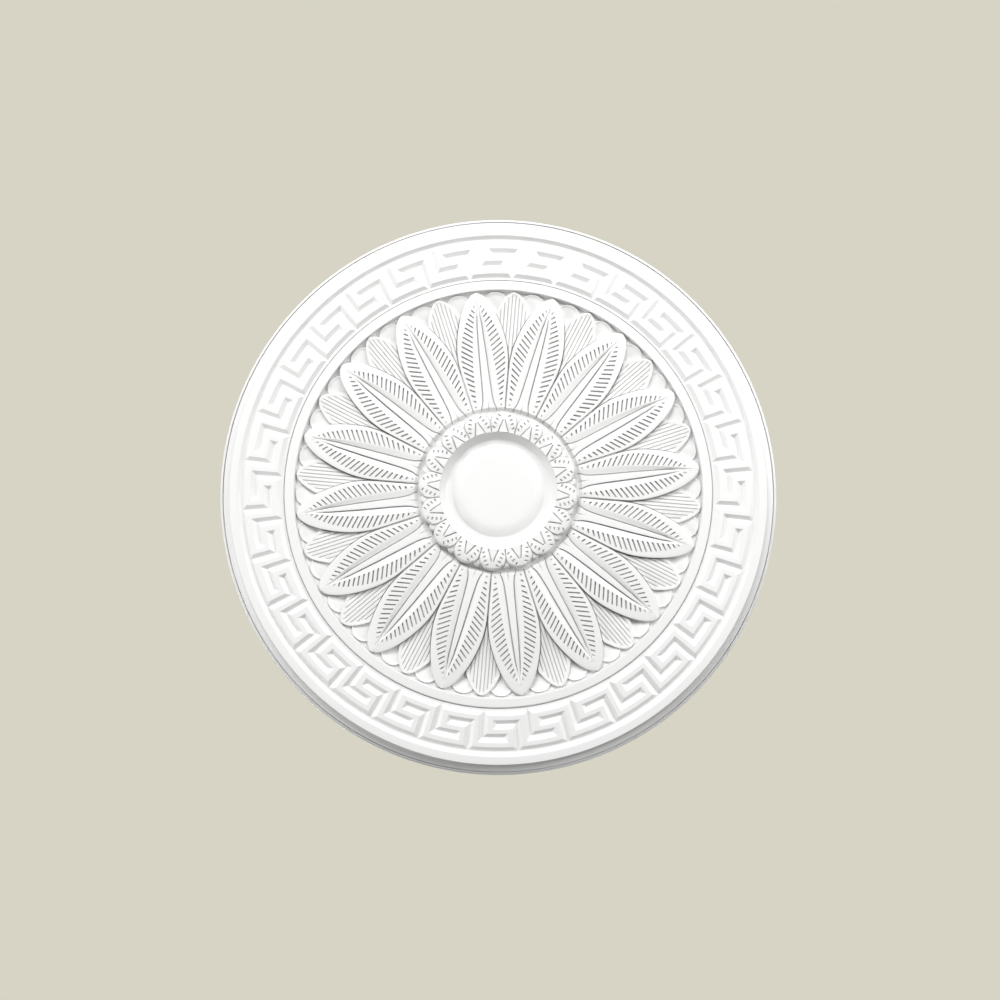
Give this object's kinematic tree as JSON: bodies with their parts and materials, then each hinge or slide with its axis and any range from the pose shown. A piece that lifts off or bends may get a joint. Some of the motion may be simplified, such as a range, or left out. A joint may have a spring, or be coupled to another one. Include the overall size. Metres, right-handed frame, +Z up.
{
  "type": "ceiling rose",
  "caption": "Round moulded ceiling rose with a stepped rim, a Greek key band, overlapping petals, a ring of small leaves and a plain boss.",
  "frame": {"origin": "centre of the flat back, which lies against the ceiling", "axes": "+Z up into the ceiling, so the ornamented face looks down along -Z; +X through the middle of one petal"},
  "size_m": [0.6, 0.6, 0.033],
  "materials": {
    "white_plastic": "factory primed white, matt to eggshell"
  },
  "bodies": {
    "root": {"ceiling_rose": "white_plastic"}
  },
  "joints": []
}
